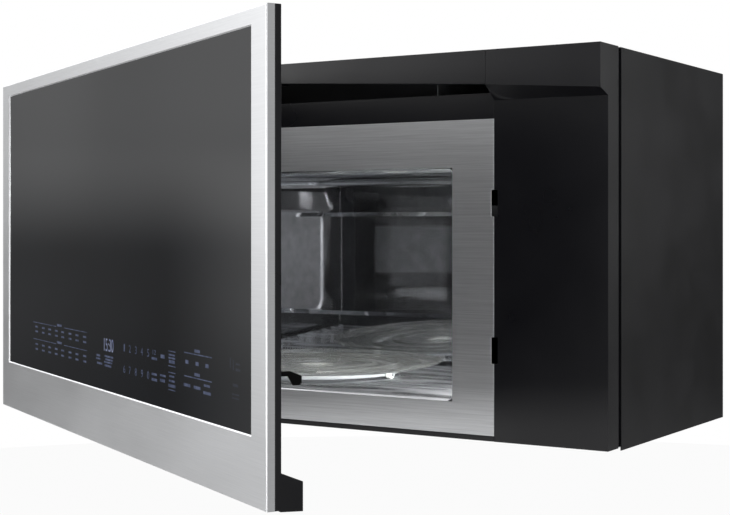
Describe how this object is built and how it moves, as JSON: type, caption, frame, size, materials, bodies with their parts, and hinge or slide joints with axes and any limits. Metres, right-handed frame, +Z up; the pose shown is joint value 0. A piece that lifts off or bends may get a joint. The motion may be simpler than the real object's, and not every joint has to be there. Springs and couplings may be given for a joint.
{
  "type": "over the range microwave",
  "caption": "Wall-hung microwave oven with a wide side-hinged glass door, steel cavity frame, turntable, front air outlet and underside grease filters.",
  "frame": {"origin": "on the wall face at the middle of the body's width, level with the underside of the body", "axes": "+X to the right as seen from the front, +Y into the wall, +Z up; the door opens towards -Y"},
  "size_m": [0.7653, 0.7212, 0.3855],
  "materials": {
    "case_black": "satin black coat",
    "galvanised": "plain galvanised sheet",
    "black_plastic": "fine satin",
    "stainless_door": "horizontal brush",
    "stainless_frame": "horizontal brush",
    "cavity_steel": "bright polished",
    "door_glass": "black printed glass",
    "clear_glass": "clear",
    "window_film": "clear film",
    "lens": "frosted",
    "choke_paint": "dark enamel",
    "screen": "perforated, dark enamel",
    "board": "laminate with solder mask",
    "steel": "plated",
    "mica": "pressed mica sheet",
    "aluminium": "satin",
    "core_steel": "varnished laminations",
    "copper": "enamelled wire",
    "white_plastic": "smooth",
    "grey_plastic": "moulded",
    "rubber": "soft",
    "motor": "cast and painted",
    "charcoal": "granules in a moulded frame"
  },
  "bodies": {
    "chassis": {"outer_case": "case_black", "rear_plate": "galvanised", "wall_bracket": "galvanised", "base_plate": "case_black", "base_screws": "steel", "cord_bushing": "rubber", "front_frame": "stainless_frame", "right_panel": "black_plastic", "left_trim": "black_plastic", "vent_grille": "black_plastic", "vent_louvres": "black_plastic", "vent_sill": "black_plastic", "lower_trim": "black_plastic", "hinge_brackets": "steel", "hinge_pins": "steel", "latch_board": "black_plastic", "interlock_switches": "grey_plastic", "cavity_box": "cavity_steel", "waveguide_cover": "mica", "cavity_lamp": "clear_glass", "waveguide": "galvanised", "magnetron": "galvanised", "magnetron_fins": "aluminium", "component_tray": "galvanised", "transformer_core": "core_steel", "transformer_coil": "copper", "capacitor": "aluminium", "fan_shroud": "grey_plastic", "fan_motor": "motor", "power_board": "board", "turntable_motor": "galvanised", "blower_housing": "grey_plastic", "blower_motor": "motor", "outlet_duct": "galvanised", "charcoal_filter": "charcoal", "cooktop_lenses": "lens", "cooktop_lamps": "galvanised"},
    "door": {"door_hinge_plates": "steel", "door_frame": "stainless_door", "door_glass": "door_glass", "door_rim": "black_plastic", "touch_board": "board", "choke_frame": "choke_paint", "window_screen": "screen", "choke_cover": "black_plastic", "inner_window": "window_film", "latch_housing": "black_plastic", "latch_spring": "steel"},
    "latch": {"latch_bar": "black_plastic"},
    "turntable": {"turntable_coupler": "white_plastic", "turntable_tray": "clear_glass"},
    "ring": {"roller_ring": "white_plastic"},
    "roller_1": {"roller_1": "white_plastic"},
    "roller_2": {"roller_2": "white_plastic"},
    "roller_3": {"roller_3": "white_plastic"},
    "blower": {"blower_wheels": "grey_plastic"},
    "fan": {"fan_blade": "grey_plastic"},
    "plunger_lower": {"plunger_lower": "white_plastic"},
    "plunger_upper": {"plunger_upper": "white_plastic"},
    "filter_left": {"grease_filter_left": "aluminium"},
    "filter_right": {"grease_filter_right": "aluminium"}
  },
  "joints": [
    {"name": "door_swing", "type": "hinge", "parent": "chassis", "child": "door", "pos_m": [-0.364, -0.34, 0.155], "axis": [0, 0, -1], "range_deg": [-29.4, 60.6]},
    {"name": "latch_lift", "type": "slide", "parent": "door", "child": "latch", "axis": [0, 0, 1], "range_m": [0, 0.004], "stiffness_N_per_m": 300, "springref_m": -0.004, "deforming": ["latch_spring"]},
    {"name": "turntable_spin", "type": "hinge", "parent": "chassis", "child": "turntable", "pos_m": [-0.052, -0.172, 0.0469], "axis": [0, 0, 1], "continuous": true},
    {"name": "ring_spin", "type": "hinge", "parent": "chassis", "child": "ring", "pos_m": [-0.052, -0.172, 0.0417], "axis": [0, 0, 1], "continuous": true},
    {"name": "roller_1_spin", "type": "hinge", "parent": "ring", "child": "roller_1", "pos_m": [0.0478, -0.172, 0.0417], "axis": [1, 0, 0], "continuous": true},
    {"name": "roller_2_spin", "type": "hinge", "parent": "ring", "child": "roller_2", "pos_m": [-0.1019, -0.08557, 0.0417], "axis": [-0.5, 0.866, 0], "continuous": true},
    {"name": "roller_3_spin", "type": "hinge", "parent": "ring", "child": "roller_3", "pos_m": [-0.1019, -0.25843, 0.0417], "axis": [-0.5, -0.866, 0], "continuous": true},
    {"name": "blower_spin", "type": "hinge", "parent": "chassis", "child": "blower", "pos_m": [0, -0.075, 0.322], "axis": [1, 0, 0], "continuous": true},
    {"name": "cooling_fan_spin", "type": "hinge", "parent": "chassis", "child": "fan", "pos_m": [0.296, -0.075, 0.112], "axis": [0, 1, 0], "continuous": true},
    {"name": "plunger_lower_press", "type": "slide", "parent": "chassis", "child": "plunger_lower", "axis": [0, 1, 0], "range_m": [0, 0.002], "stiffness_N_per_m": 300, "springref_m": -0.002},
    {"name": "plunger_upper_press", "type": "slide", "parent": "chassis", "child": "plunger_upper", "axis": [0, 1, 0], "range_m": [0, 0.002], "stiffness_N_per_m": 300, "springref_m": -0.002},
    {"name": "filter_left_slide", "type": "slide", "parent": "chassis", "child": "filter_left", "axis": [0, 1, 0], "range_m": [0, 0.005], "stiffness_N_per_m": 400, "springref_m": -0.003},
    {"name": "filter_right_slide", "type": "slide", "parent": "chassis", "child": "filter_right", "axis": [0, 1, 0], "range_m": [0, 0.005], "stiffness_N_per_m": 400, "springref_m": -0.003}
  ],
  "couplings": [
    {"joint": "ring_spin", "follows": "turntable_spin", "ratio": 0.5},
    {"joint": "roller_1_spin", "follows": "turntable_spin", "ratio": -9.98},
    {"joint": "roller_2_spin", "follows": "turntable_spin", "ratio": -9.98},
    {"joint": "roller_3_spin", "follows": "turntable_spin", "ratio": -9.98}
  ]
}
